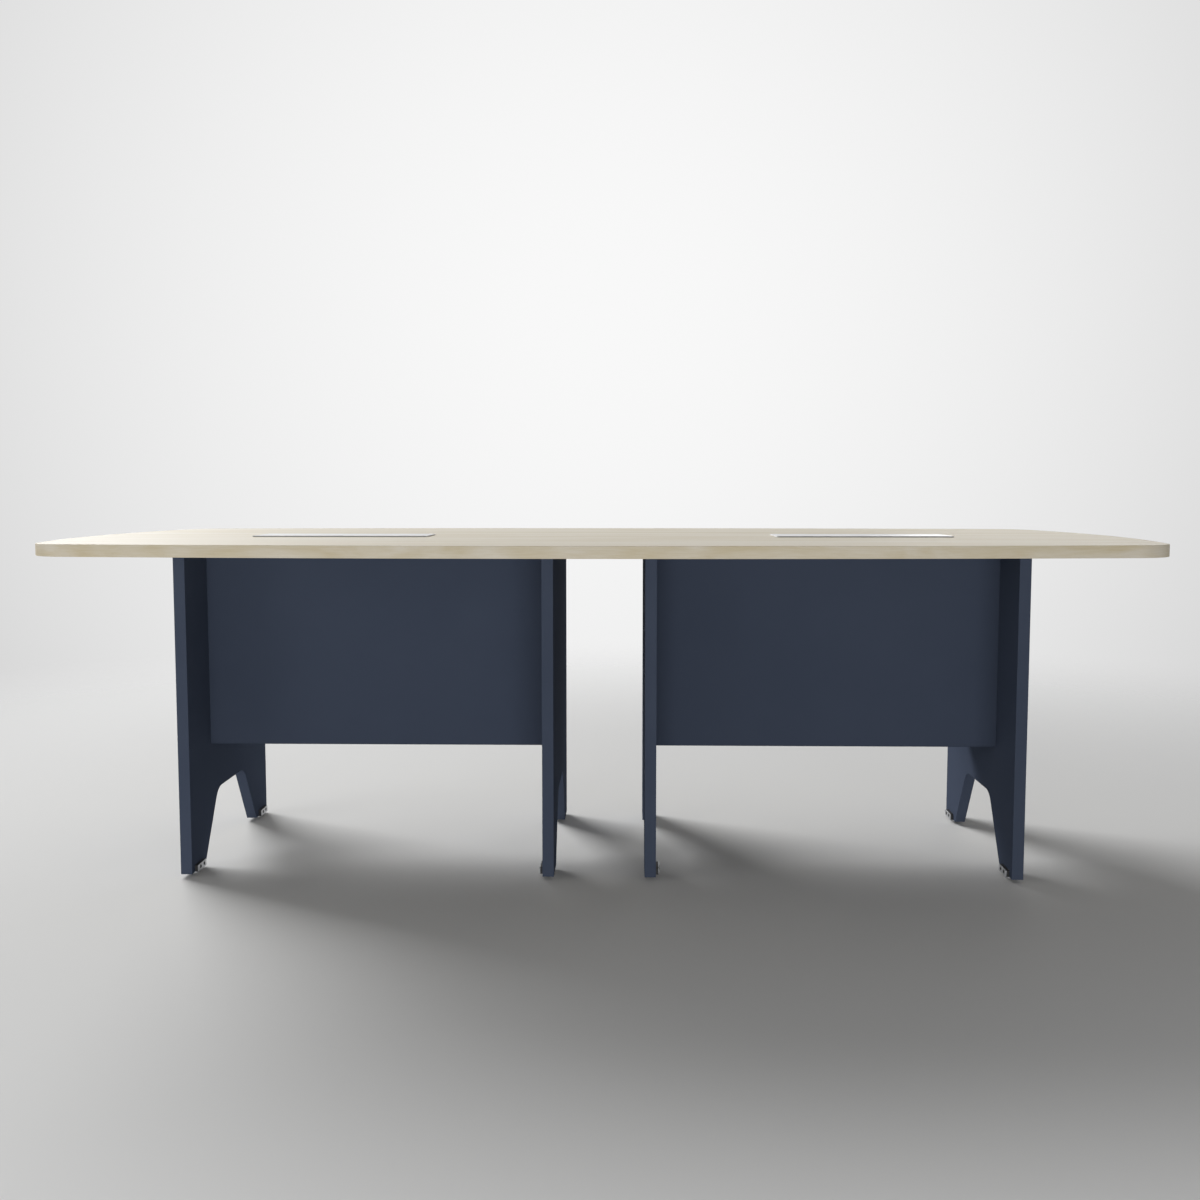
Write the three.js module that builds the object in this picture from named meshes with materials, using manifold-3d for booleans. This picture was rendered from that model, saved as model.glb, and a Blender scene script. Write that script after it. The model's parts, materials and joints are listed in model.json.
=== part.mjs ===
// Conference table: a bowed maple top on two slab-ended bases, with two hinged cable flaps
// and eight levelling feet. Millimetres, +Z up, origin on the floor below the middle of the top.

import * as THREE from 'three';
import { mergeVertices } from 'three/addons/utils/BufferGeometryUtils.js';
import Module from 'manifold-3d';

// Table top
const TABLE_LENGTH = 2400;
const TABLE_WIDTH = 1200;
const TABLE_HEIGHT = 750;
const TOP_THICKNESS = 25;
const SIDE_BOW = 65; // a long side's middle stands this far outside its corners
const END_BOW = 65; // an end's middle stands this far outside its corners
const TOP_CORNER_RADIUS = 100;
const TOP_BAND = 2; // thickness of the edging round the top
const TOP_BAND_CHAMFER = 0.8;

// Slab bases
const BASE_WIDTH = 828; // over the outer faces of a base's two slab panels
const BASE_DEPTH = 600;
const BASE_GAP = 200; // clear space between the two bases
const PANEL_THICKNESS = 25;
const PANEL_BAND = 1; // thickness of the edging on the bases' boards
const FLOOR_GAP = 8; // from the floor up to the slab panels
const FOOT_WIDTH = 95; // what the arch leaves standing at each side
const ARCH_HEIGHT = 152;
const ARCH_TOP_WIDTH = 206;
const ARCH_RADIUS = 50;
const MODESTY_HEIGHT = 452;
const MODESTY_THICKNESS = 18;
const MODESTY_SPREAD = 300; // over the outer faces of a base's two modesty panels

// Angle brackets that hold the top on the slab panels
const BRACKET_LEG = 36;
const BRACKET_WIDTH = 50;
const BRACKET_SHEET = 2.5;
const BRACKET_BEND = 4; // outer radius of the bend
const BRACKET_SETBACK = 20; // from the modesty panel to the bracket
const BRACKET_HOLE_RADIUS = 2.75;
const BRACKET_HOLE_SPACING = 26;

// Levelling fittings, let into the inner side of each foot
const HOUSING_WIDTH = 55;
const HOUSING_HEIGHT = 15;
const HOUSING_DEPTH = 17; // how far the housing reaches into the panel
const HOUSING_PROUD = 6; // how far it stands out of the panel's inner face
const HOUSING_CORNER = 2;
const PLATE_THICKNESS = 1.5;
const SCREW_HOLE_RADIUS = 2.6;
const SCREW_HOLE_SPACING = 24;
const SCREW_HOLE_HEIGHT = 8.5; // above the bottom of the housing
const STUD_RADIUS = 4;
const STUD_LENGTH = 34; // above the pad
const STUD_SETBACK = 9; // from the panel's inner face to the stud's axis
const PAD_RADIUS = 11;
const PAD_RIM = 3.5; // height of the pad's straight rim
const PAD_NECK_RADIUS = 6.5;
const PAD_CHAMFER = 0.8;

// Cable flaps
const FLAP_LENGTH = 404;
const FLAP_DEPTH = 145;
const FLAP_OFFSET = 90; // from the middle of the base, towards the end of the table
const FLAP_FORWARD = 45; // from the middle of the table, towards its front
const FLAP_CORNER = 4;
const FLANGE_WIDTH = 11;
const FLANGE_THICKNESS = 2.5;
const NECK_WALL = 2;
const NECK_DROP = 4; // how far the neck shows below the table top
const LEDGE_WIDTH = 5; // the lid's front edge rests on two ledges
const LEDGE_LENGTH = 90;
const LEDGE_THICKNESS = 2;
const LID_THICKNESS = 2.5;
const LID_GAP = 1; // round the lid, in its frame
const LID_CORNER = 2;
const NOTCH_RADIUS = 22; // finger notch in the lid's front edge
const NOTCH_DEPTH = 6;
const HINGE_INSET = 10; // from the lid's rear edge to the hinge axis
const HINGE_DROP = 3.5; // from the lid's underside to the hinge axis
const SWING_CLEARANCE = 0.5;
const PIN_RADIUS = 2;
const LUG_RADIUS = 4.5;
const LUG_WIDTH = 6;

// Fits and facets
const FIT_GAP = 0.3; // between pieces that are let into or set against each other
const CUT_MARGIN = 5; // how far a cutting tool runs past the faces it cuts
const FACET_ERROR = 0.15; // the most that a flat facet falls inside its arc

// Derived sizes
const topUnderside = TABLE_HEIGHT - TOP_THICKNESS;
const panelHeight = topUnderside - FIT_GAP - FLOOR_GAP;
const archBottomWidth = BASE_DEPTH - 2 * FOOT_WIDTH;
const footCentre = (BASE_DEPTH - FOOT_WIDTH) / 2;
const baseCentre = (BASE_GAP + BASE_WIDTH) / 2;
const modestyLength = BASE_WIDTH - 2 * (PANEL_THICKNESS + FIT_GAP);
const modestyCentre = (MODESTY_SPREAD - MODESTY_THICKNESS) / 2;
const bracketCentre = MODESTY_SPREAD / 2 - MODESTY_THICKNESS - BRACKET_SETBACK - BRACKET_WIDTH / 2;
const flapCentre = baseCentre + FLAP_OFFSET;
const openingLength = FLAP_LENGTH - 2 * FLANGE_WIDTH;
const openingDepth = FLAP_DEPTH - 2 * FLANGE_WIDTH;
const neckLength = openingLength + 2 * NECK_WALL;
const neckDepth = openingDepth + 2 * NECK_WALL;
const lidTop = FIT_GAP + FLANGE_THICKNESS;
const lidUnderside = lidTop - LID_THICKNESS;
const hingeGap = Math.hypot(HINGE_INSET, LID_THICKNESS + HINGE_DROP) - HINGE_INSET + SWING_CLEARANCE;
const lidLength = openingLength - 2 * LID_GAP;
const lidFront = -openingDepth / 2 + LID_GAP;
const lidRear = openingDepth / 2 - hingeGap;
const hingeY = lidRear - HINGE_INSET;
const hingeZ = lidUnderside - HINGE_DROP;

// Materials
const material = (color, roughness, metalness) =>
  new THREE.MeshStandardMaterial({ color, roughness, metalness });
const maple = material(0xd9d2c0, 0.45, 0);
const mapleEdging = material(0xc6bba3, 0.5, 0);
const navyBoard = material(0x3b4251, 0.55, 0);
const navyEdging = material(0x3e4656, 0.5, 0);
const whiteMetal = material(0xe4e5e8, 0.35, 0.1);
const zincSteel = material(0xa9abad, 0.35, 0.9);
const blackPlastic = material(0x16171a, 0.6, 0);

// Joining and cutting closed solids
const wasm = await Module();
wasm.setup();

function toSolid(geometry) {
  const bare = geometry.clone();
  bare.deleteAttribute('normal');
  bare.deleteAttribute('uv');
  const merged = mergeVertices(bare);
  return new wasm.Manifold(new wasm.Mesh({
    numProp: 3,
    vertProperties: Float32Array.from(merged.attributes.position.array),
    triVerts: Uint32Array.from(merged.index.array),
  }));
}

function toGeometry(solid) {
  const { vertProperties, triVerts } = solid.getMesh();
  const indexed = new THREE.BufferGeometry();
  indexed.setAttribute('position', new THREE.BufferAttribute(vertProperties, 3));
  indexed.setIndex(new THREE.BufferAttribute(triVerts, 1));
  const geometry = indexed.toNonIndexed();
  geometry.computeVertexNormals();
  return geometry;
}

const cut = (body, tools) =>
  toGeometry(tools.reduce((solid, tool) => solid.subtract(toSolid(tool)), toSolid(body)));
const join = (bodies) => toGeometry(bodies.map(toSolid).reduce((solid, other) => solid.add(other)));

// Outlines

// How far one facet of a round turns.
const facetAngle = (radius) => 2 * Math.acos(1 - FACET_ERROR / radius);
const roundSides = (radius) => 2 * Math.ceil(Math.PI / facetAngle(radius));

// Points along an arc, with both its ends.
function arcPoints(x, y, radius, from, to) {
  const steps = Math.ceil(Math.abs(to - from) / facetAngle(radius));
  return Array.from({ length: steps + 1 }, (_, i) => {
    const angle = from + (to - from) * (i / steps);
    return new THREE.Vector2(x + radius * Math.cos(angle), y + radius * Math.sin(angle));
  });
}

// A closed outline through corners { x, y, r }, each rounded by its own radius.
function roundedShape(corners) {
  return new THREE.Shape(corners.flatMap(({ x, y, r = 0 }, i) => {
    const here = new THREE.Vector2(x, y);
    if (r === 0) return [here];
    const before = corners.at(i - 1);
    const after = corners[(i + 1) % corners.length];
    const back = new THREE.Vector2(before.x, before.y).sub(here).normalize();
    const ahead = new THREE.Vector2(after.x, after.y).sub(here).normalize();
    const halfAngle = Math.acos(back.dot(ahead)) / 2;
    const middle = back.clone().add(ahead).setLength(r / Math.sin(halfAngle)).add(here);
    const from = back.clone().setLength(r / Math.tan(halfAngle)).add(here).sub(middle).angle();
    const sweep = Math.sign(ahead.cross(back)) * (Math.PI - 2 * halfAngle);
    return arcPoints(middle.x, middle.y, r, from, from + sweep);
  }));
}

// The corners moved inwards: edge i, from corner i to the next, moves by insets[i].
function insetCorners(corners, insets) {
  const edges = corners.map((corner, i) => {
    const next = corners[(i + 1) % corners.length];
    const along = new THREE.Vector2(next.x - corner.x, next.y - corner.y).normalize();
    const normal = new THREE.Vector2(-along.y, along.x);
    return { along, start: normal.multiplyScalar(insets[i]).add(corner) };
  });
  return corners.map(({ r = 0 }, i) => {
    const before = edges.at(i - 1);
    const after = edges[i];
    const turn = before.along.cross(after.along);
    const reach = after.start.clone().sub(before.start).cross(after.along) / turn;
    const { x, y } = before.along.clone().multiplyScalar(reach).add(before.start);
    const shrink = Math.sign(turn) * insets[i];
    return { x, y, r: r === 0 ? 0 : Math.max(r - shrink, 0) };
  });
}

function rectangle(length, depth, r) {
  const x = length / 2;
  const y = depth / 2;
  return [{ x: -x, y: -y, r }, { x, y: -y, r }, { x, y, r }, { x: -x, y, r }];
}

// The table top's outline: two side arcs and two end arcs joined by tangent corner arcs.
function bowedShape(inset) {
  const bowRadius = (halfChord, bow) => (halfChord ** 2 + bow ** 2) / (2 * bow);
  const sideRadius = bowRadius(TABLE_LENGTH / 2 - END_BOW, SIDE_BOW);
  const endRadius = bowRadius(TABLE_WIDTH / 2 - SIDE_BOW, END_BOW);
  const sideCentre = new THREE.Vector2(0, TABLE_WIDTH / 2 - sideRadius);
  const endCentre = new THREE.Vector2(TABLE_LENGTH / 2 - endRadius, 0);

  // The corner's centre is where the two arcs, shrunk by the corner radius, cross.
  const toEnd = endRadius - TOP_CORNER_RADIUS;
  const toSide = sideRadius - TOP_CORNER_RADIUS;
  const span = endCentre.clone().sub(sideCentre);
  const distance = span.length();
  const along = (toSide ** 2 - toEnd ** 2 + distance ** 2) / (2 * distance);
  const across = Math.sqrt(toSide ** 2 - along ** 2);
  const unit = span.normalize();
  const corner = new THREE.Vector2(unit.y, -unit.x)
    .multiplyScalar(across).addScaledVector(unit, along).add(sideCentre);
  const endAngle = corner.clone().sub(endCentre).angle();
  const sideAngle = corner.clone().sub(sideCentre).angle();

  const arcs = [[0, 1], [Math.PI, -1]].flatMap(([turn, mirror]) => {
    const x = corner.x * mirror;
    const y = corner.y * mirror;
    return [
      [endCentre.x * mirror, 0, endRadius, turn - endAngle, turn + endAngle],
      [x, y, TOP_CORNER_RADIUS, turn + endAngle, turn + sideAngle],
      [0, sideCentre.y * mirror, sideRadius, turn + sideAngle, turn + Math.PI - sideAngle],
      [-x, y, TOP_CORNER_RADIUS, turn + Math.PI - sideAngle, turn + Math.PI - endAngle],
    ];
  });
  // Each arc leaves out its last point, which is the next arc's first.
  return new THREE.Shape(arcs.flatMap(([x, y, radius, from, to]) =>
    arcPoints(x, y, radius - inset, from, to).slice(0, -1)));
}

// Extrusions: the outline's own plane is XY, YZ or XZ, and the solid starts at `start`.
function extrudeZ(shape, start, depth) {
  return new THREE.ExtrudeGeometry(shape, { depth, bevelEnabled: false }).translate(0, 0, start);
}

function extrudeX(shape, start, depth) {
  const turn = new THREE.Matrix4().makeBasis(
    new THREE.Vector3(0, 1, 0), new THREE.Vector3(0, 0, 1), new THREE.Vector3(1, 0, 0));
  return extrudeZ(shape, start, depth).applyMatrix4(turn);
}

const extrudeY = (shape, start, depth) => extrudeZ(shape, -start - depth, depth).rotateX(Math.PI / 2);

const round = (radius, length) =>
  new THREE.CylinderGeometry(radius, radius, length, roundSides(radius));
const roundX = (radius, from, to) =>
  round(radius, to - from).rotateZ(Math.PI / 2).translate((from + to) / 2, 0, 0);
const roundZ = (radius, from, to) =>
  round(radius, to - from).rotateX(Math.PI / 2).translate(0, 0, (from + to) / 2);

function box(from, to) {
  const size = to.map((value, i) => value - from[i]);
  const middle = to.map((value, i) => (value + from[i]) / 2);
  return new THREE.BoxGeometry(...size).translate(...middle);
}

function piece(name, geometry, finish) {
  const mesh = new THREE.Mesh(geometry, finish);
  mesh.name = name;
  return mesh;
}

const place = (object, x, y, z) => {
  object.position.set(x, y, z);
  return object;
};

// Table top with its edging
function tableTop() {
  const group = new THREE.Group();
  const board = bowedShape(TOP_BAND + FIT_GAP);
  for (const side of [-1, 1]) {
    const port = rectangle(neckLength + 2 * FIT_GAP, neckDepth + 2 * FIT_GAP, FLAP_CORNER)
      .map(({ x, y, r }) => ({ x: x + side * flapCentre, y: y - FLAP_FORWARD, r }));
    board.holes.push(roundedShape(port));
  }
  group.add(piece('tabletop', extrudeZ(board, 0, TOP_THICKNESS), maple));

  const blank = new THREE.ExtrudeGeometry(bowedShape(0), {
    depth: TOP_THICKNESS - 2 * TOP_BAND_CHAMFER,
    bevelThickness: TOP_BAND_CHAMFER,
    bevelSize: TOP_BAND_CHAMFER,
    bevelOffset: -TOP_BAND_CHAMFER,
    bevelSegments: 1,
  }).translate(0, 0, TOP_BAND_CHAMFER);
  const inside = extrudeZ(bowedShape(TOP_BAND), -CUT_MARGIN, TOP_THICKNESS + 2 * CUT_MARGIN);
  group.add(piece('tabletop_edge_band', cut(blank, [inside]), mapleEdging));
  return place(group, 0, 0, topUnderside);
}

// Slab panel: its inner face is the plane x = 0, facing +X, and its bottom is z = 0.
const panelCorners = [
  { x: -BASE_DEPTH / 2, y: panelHeight },
  { x: -BASE_DEPTH / 2, y: 0 },
  { x: -archBottomWidth / 2, y: 0 },
  { x: -ARCH_TOP_WIDTH / 2, y: ARCH_HEIGHT, r: ARCH_RADIUS },
  { x: ARCH_TOP_WIDTH / 2, y: ARCH_HEIGHT, r: ARCH_RADIUS },
  { x: archBottomWidth / 2, y: 0 },
  { x: BASE_DEPTH / 2, y: 0 },
  { x: BASE_DEPTH / 2, y: panelHeight },
];

// The same corners inside an edging, which leaves out the hidden top edge.
const panelInside = (inset) =>
  insetCorners(panelCorners, panelCorners.map((_, i) => (i < panelCorners.length - 1 ? inset : 0)));

// What a levelling fitting needs cut out of a foot: its pocket, and a bore for the stud above it.
function footCuts(y) {
  const halfWidth = HOUSING_WIDTH / 2 + FIT_GAP;
  const pocketTop = HOUSING_HEIGHT + FIT_GAP;
  const studTop = STUD_LENGTH + FIT_GAP;
  return [
    box([-HOUSING_DEPTH - FIT_GAP, y - halfWidth, -CUT_MARGIN], [CUT_MARGIN, y + halfWidth, pocketTop]),
    roundZ(STUD_RADIUS + FIT_GAP, 0, studTop).translate(-STUD_SETBACK, y, 0),
  ];
}

function slabPanel(name) {
  const cuts = [...footCuts(-footCentre), ...footCuts(footCentre)];
  const core = extrudeX(roundedShape(panelInside(PANEL_BAND + FIT_GAP)), -PANEL_THICKNESS, PANEL_THICKNESS);
  const strip = [...panelCorners, ...panelInside(PANEL_BAND).reverse()];
  const band = extrudeX(roundedShape(strip), -PANEL_THICKNESS, PANEL_THICKNESS);
  return [
    piece(name, cut(core, cuts), navyBoard),
    piece(`${name}_edge_band`, cut(band, cuts), navyEdging),
  ];
}

// Levelling fitting: a housing in the pocket, a face plate over it and a foot screwed up into it.
function leveller(name) {
  const middle = HOUSING_HEIGHT / 2;
  const outline = rectangle(HOUSING_WIDTH, HOUSING_HEIGHT, HOUSING_CORNER)
    .map(({ x, y, r }) => ({ x, y: y + middle, r }));
  const screws = [-SCREW_HOLE_SPACING / 2, SCREW_HOLE_SPACING / 2];

  const block = extrudeX(roundedShape(outline), -HOUSING_DEPTH, HOUSING_DEPTH + HOUSING_PROUD);
  const bores = screws.map((y) =>
    roundX(SCREW_HOLE_RADIUS, -HOUSING_DEPTH - CUT_MARGIN, HOUSING_PROUD + CUT_MARGIN)
      .translate(0, y, SCREW_HOLE_HEIGHT));
  const studBore = roundZ(STUD_RADIUS + FIT_GAP, -CUT_MARGIN, HOUSING_HEIGHT + CUT_MARGIN)
    .translate(-STUD_SETBACK, 0, 0);

  const face = roundedShape(outline);
  for (const y of screws) {
    const circle = arcPoints(y, SCREW_HOLE_HEIGHT, SCREW_HOLE_RADIUS, 0, 2 * Math.PI);
    face.holes.push(new THREE.Path(circle.slice(0, -1)));
  }
  return [
    piece(`${name}_leveller_housing`, cut(block, [...bores, studBore]), blackPlastic),
    piece(`${name}_leveller_plate`, extrudeX(face, HOUSING_PROUD + FIT_GAP, PLATE_THICKNESS), zincSteel),
    levellingFoot(name),
  ];
}

function levellingFoot(name) {
  const padTop = FLOOR_GAP - FIT_GAP;
  const studTop = FLOOR_GAP + STUD_LENGTH - FIT_GAP;
  const profile = [
    [0, 0],
    [PAD_RADIUS - PAD_CHAMFER, 0],
    [PAD_RADIUS, PAD_CHAMFER],
    [PAD_RADIUS, PAD_RIM],
    [PAD_NECK_RADIUS, padTop],
    [STUD_RADIUS, padTop],
    [STUD_RADIUS, studTop],
    [0, studTop],
  ].map(([x, y]) => new THREE.Vector2(x, y));
  const turned = new THREE.LatheGeometry(profile, roundSides(PAD_RADIUS)).rotateX(Math.PI / 2);
  return place(piece(`${name}_levelling_foot`, turned, zincSteel), -STUD_SETBACK, 0, -FLOOR_GAP);
}

// Angle bracket in the corner between a slab panel's inner face and the top above it.
function topBracket(name) {
  const outline = roundedShape([
    { x: 0, y: 0, r: BRACKET_BEND },
    { x: 0, y: -BRACKET_LEG },
    { x: BRACKET_SHEET, y: -BRACKET_LEG },
    { x: BRACKET_SHEET, y: -BRACKET_SHEET, r: BRACKET_BEND - BRACKET_SHEET },
    { x: BRACKET_LEG, y: -BRACKET_SHEET },
    { x: BRACKET_LEG, y: 0 },
  ]);
  const angle = extrudeY(outline, -BRACKET_WIDTH / 2, BRACKET_WIDTH);
  const holeReach = (BRACKET_LEG + BRACKET_SHEET) / 2;
  const holes = [-BRACKET_HOLE_SPACING / 2, BRACKET_HOLE_SPACING / 2].flatMap((y) => [
    roundX(BRACKET_HOLE_RADIUS, -CUT_MARGIN, CUT_MARGIN).translate(0, y, -holeReach),
    roundZ(BRACKET_HOLE_RADIUS, -CUT_MARGIN, CUT_MARGIN).translate(holeReach, y, 0),
  ]);
  return piece(`${name}_top_bracket`, cut(angle, holes), zincSteel);
}

// One end of a base: a slab panel with its edging, two levelling fittings and two top brackets.
function baseEnd(name, turned) {
  const group = new THREE.Group();
  group.add(...slabPanel(`${name}_panel`));
  for (const side of [-1, 1]) {
    const row = side * (turned ? -1 : 1) < 0 ? 'front' : 'rear';
    const fitting = new THREE.Group();
    fitting.add(...leveller(`${name}_${row}`));
    group.add(place(fitting, 0, side * footCentre, 0));
    group.add(place(topBracket(`${name}_${row}`), FIT_GAP, side * bracketCentre, panelHeight));
  }
  group.rotation.z = turned ? Math.PI : 0;
  return group;
}

// Modesty panel: only its bottom edge shows, so that edge alone is edged. Its bottom is z = 0.
function modestyPanel(name) {
  const slice = (from, to) => box(
    [-modestyLength / 2, -MODESTY_THICKNESS / 2, from], [modestyLength / 2, MODESTY_THICKNESS / 2, to]);
  return [
    piece(`${name}_modesty_panel`, slice(PANEL_BAND + FIT_GAP, MODESTY_HEIGHT), navyBoard),
    piece(`${name}_modesty_edge_band`, slice(0, PANEL_BAND), navyEdging),
  ];
}

function base(name, side) {
  const group = new THREE.Group();
  const innerFace = BASE_WIDTH / 2 - PANEL_THICKNESS;
  for (const end of [-1, 1]) {
    const endName = end === side ? 'outer' : 'inner';
    group.add(place(baseEnd(`${name}_${endName}`, end > 0), end * innerFace, 0, FLOOR_GAP));
  }
  const modestyBottom = topUnderside - FIT_GAP - MODESTY_HEIGHT;
  for (const [row, y] of [['front', -modestyCentre], ['rear', modestyCentre]]) {
    for (const part of modestyPanel(`${name}_${row}`)) group.add(place(part, 0, y, modestyBottom));
  }
  return place(group, side * baseCentre, 0, 0);
}

// Cable flap: the origin is on the table top, at the middle of the flap.

// The hinge pins' bore runs right through the frame's neck and the lid's lugs.
const pinBore = () =>
  roundX(PIN_RADIUS + FIT_GAP, -FLAP_LENGTH / 2, FLAP_LENGTH / 2).translate(0, hingeY, hingeZ);

function flapFrame(name) {
  const ring = (length, depth) => {
    const shape = roundedShape(rectangle(length, depth, FLAP_CORNER));
    shape.holes.push(roundedShape(rectangle(openingLength, openingDepth, LID_CORNER)));
    return shape;
  };
  const flange = extrudeZ(ring(FLAP_LENGTH, FLAP_DEPTH), FIT_GAP, FLANGE_THICKNESS);
  const neckBottom = -TOP_THICKNESS - NECK_DROP;
  const neck = extrudeZ(ring(neckLength, neckDepth), neckBottom, lidTop - neckBottom);

  // The ledges stand out of the neck's front wall, at the quarter points of the opening.
  const ledgeTop = lidUnderside - FIT_GAP;
  const ledges = [-openingLength / 4, openingLength / 4].map((middle) => box(
    [middle - LEDGE_LENGTH / 2, -openingDepth / 2 - NECK_WALL / 2, ledgeTop - LEDGE_THICKNESS],
    [middle + LEDGE_LENGTH / 2, -openingDepth / 2 + LEDGE_WIDTH, ledgeTop]));
  return piece(`${name}_flap_frame`, cut(join([flange, neck, ...ledges]), [pinBore()]), whiteMetal);
}

function flapLid(name) {
  const middle = (lidFront + lidRear) / 2;
  const outline = rectangle(lidLength, lidRear - lidFront, LID_CORNER)
    .map(({ x, y, r }) => ({ x, y: y + middle, r }));
  const plate = extrudeZ(roundedShape(outline), lidUnderside, LID_THICKNESS);
  const lugOutline = roundedShape([
    { x: hingeY - LUG_RADIUS, y: lidUnderside + LID_THICKNESS / 2 },
    { x: hingeY - LUG_RADIUS, y: hingeZ - LUG_RADIUS, r: LUG_RADIUS },
    { x: hingeY + LUG_RADIUS, y: hingeZ - LUG_RADIUS, r: LUG_RADIUS },
    { x: hingeY + LUG_RADIUS, y: lidUnderside + LID_THICKNESS / 2 },
  ]);
  const lugs = [-lidLength / 2, lidLength / 2 - LUG_WIDTH]
    .map((x) => extrudeX(lugOutline, x, LUG_WIDTH));
  const notch = roundZ(NOTCH_RADIUS, lidUnderside - CUT_MARGIN, lidTop + CUT_MARGIN)
    .translate(0, lidFront + NOTCH_DEPTH - NOTCH_RADIUS, 0);
  return piece(`${name}_flap_lid`, cut(join([plate, ...lugs]), [pinBore(), notch]), whiteMetal);
}

// A hinge pin reaches from the neck's outer face through the lid's lug.
function flapPin(name, end) {
  const pinOuter = neckLength / 2;
  const pinInner = lidLength / 2 - LUG_WIDTH;
  const pin = roundX(PIN_RADIUS, pinInner, pinOuter).rotateZ(end < 0 ? Math.PI : 0);
  return place(piece(name, pin, zincSteel), 0, hingeY, hingeZ);
}

function flap(name, side) {
  const group = new THREE.Group();
  group.add(flapFrame(name), flapLid(name));
  for (const end of [-1, 1]) {
    group.add(flapPin(`${name}_flap_${end === side ? 'outer' : 'inner'}_pin`, end));
  }
  return place(group, side * flapCentre, -FLAP_FORWARD, TABLE_HEIGHT);
}

const table = new THREE.Group();
table.add(tableTop());
for (const [name, side] of [['left', -1], ['right', 1]]) {
  table.add(base(name, side), flap(name, side));
}

export default table;
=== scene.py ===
# %% [markdown]
# # Conference table
# A bowed maple top stands on two navy slab bases. The construction model gives every piece at its
# real size, so this lesson only adds what the eye needs: rounded arrises, finishes, small
# fasteners, a camera and light. All lengths are in metres unless a comment says otherwise.

# %% Load the construction model
import json
import math

import bmesh
import bpy
from mathutils import Matrix, Vector


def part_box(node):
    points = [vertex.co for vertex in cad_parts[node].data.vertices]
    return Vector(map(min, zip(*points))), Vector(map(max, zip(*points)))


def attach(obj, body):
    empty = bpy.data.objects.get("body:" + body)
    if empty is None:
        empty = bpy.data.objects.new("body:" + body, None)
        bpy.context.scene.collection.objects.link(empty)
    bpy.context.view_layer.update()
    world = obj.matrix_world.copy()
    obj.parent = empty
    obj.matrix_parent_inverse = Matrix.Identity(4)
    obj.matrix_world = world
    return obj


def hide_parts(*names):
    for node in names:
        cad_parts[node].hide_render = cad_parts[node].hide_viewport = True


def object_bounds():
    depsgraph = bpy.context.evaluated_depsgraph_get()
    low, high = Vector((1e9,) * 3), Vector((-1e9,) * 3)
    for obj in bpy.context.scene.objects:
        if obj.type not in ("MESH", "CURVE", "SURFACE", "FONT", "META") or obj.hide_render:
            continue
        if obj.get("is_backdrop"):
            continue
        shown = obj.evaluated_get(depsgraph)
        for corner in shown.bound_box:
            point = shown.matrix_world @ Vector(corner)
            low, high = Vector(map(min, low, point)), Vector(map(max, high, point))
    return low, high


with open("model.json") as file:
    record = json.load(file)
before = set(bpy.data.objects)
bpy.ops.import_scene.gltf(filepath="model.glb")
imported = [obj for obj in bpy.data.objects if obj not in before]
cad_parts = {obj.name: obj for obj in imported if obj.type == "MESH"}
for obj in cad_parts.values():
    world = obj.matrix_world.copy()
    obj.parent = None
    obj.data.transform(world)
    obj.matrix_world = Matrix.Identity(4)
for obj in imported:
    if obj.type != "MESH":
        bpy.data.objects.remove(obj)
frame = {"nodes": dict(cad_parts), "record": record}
cad_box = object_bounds()
nodes = frame["nodes"]
bodies = frame["record"]["behaviour"]["bodies"]
body_of_node = {name: body for body, names in bodies.items() for name in names}
slot_of_node = {part["node"]: part["material_slot"] for part in frame["record"]["subparts"]}

# %% [markdown]
# ## Camera
# The picture was taken a little right of the middle, just above the height of the top. The lens and
# the place could be guessed by eye, but here they come from matching the edges of the top and of
# the slab panels, so that the render can be laid over the picture.

# %% Camera at the photograph's view
CAMERA_PLACE = (0.0670, -3.1359, 0.8576)
CAMERA_LENS = 39.454  # millimetres
CAMERA_SENSOR = 36  # millimetres
CAMERA_LEVEL = 90  # degrees, because an unturned camera looks straight down
CAMERA_DOWN = 4.776  # degrees below level
CAMERA_LEFT = 1.3135  # degrees left of straight ahead

camera_data = bpy.data.cameras.new("camera")
camera_data.sensor_width = CAMERA_SENSOR
camera_data.lens = CAMERA_LENS
camera = bpy.data.objects.new("camera", camera_data)
camera.location = CAMERA_PLACE
camera.rotation_euler = (math.radians(CAMERA_LEVEL - CAMERA_DOWN), 0, math.radians(CAMERA_LEFT))
bpy.context.scene.collection.objects.link(camera)
bpy.context.scene.camera = camera
bpy.context.scene.view_settings.view_transform = "Standard"
print("camera", CAMERA_LENS, "mm at", CAMERA_PLACE)

# %% [markdown]
# ## Nodes by name
# Shader and geometry trees are easier to read when one call adds a node, sets it up and joins it to
# what feeds it. An input that is given a socket is linked, and any other value is set. The nodes
# that come up most often have a short call of their own.

# %% One call for each node
MIX_FACTOR, MIX_LOW, MIX_HIGH, MIX_RESULT = 0, 6, 7, 2  # a Mix node's sockets for colours


def add(tree, kind, inputs=None, **settings):
    node = tree.nodes.new(kind)
    for name, value in settings.items():
        setattr(node, name, value)
    for name, value in (inputs or {}).items():
        if isinstance(value, bpy.types.NodeSocket):
            tree.links.new(value, node.inputs[name])
        else:
            node.inputs[name].default_value = value
    return node


def math_node(tree, operation, first, second):
    return add(tree, "ShaderNodeMath", {0: first, 1: second}, operation=operation).outputs[0]


def combine(tree, x=0.0, y=0.0, z=0.0):
    return add(tree, "ShaderNodeCombineXYZ", {0: x, 1: y, 2: z}).outputs[0]


def blend_colours(tree, factor, low, high):
    inputs = {MIX_FACTOR: factor, MIX_LOW: low, MIX_HIGH: high}
    return add(tree, "ShaderNodeMix", inputs, data_type="RGBA").outputs[MIX_RESULT]


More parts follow.
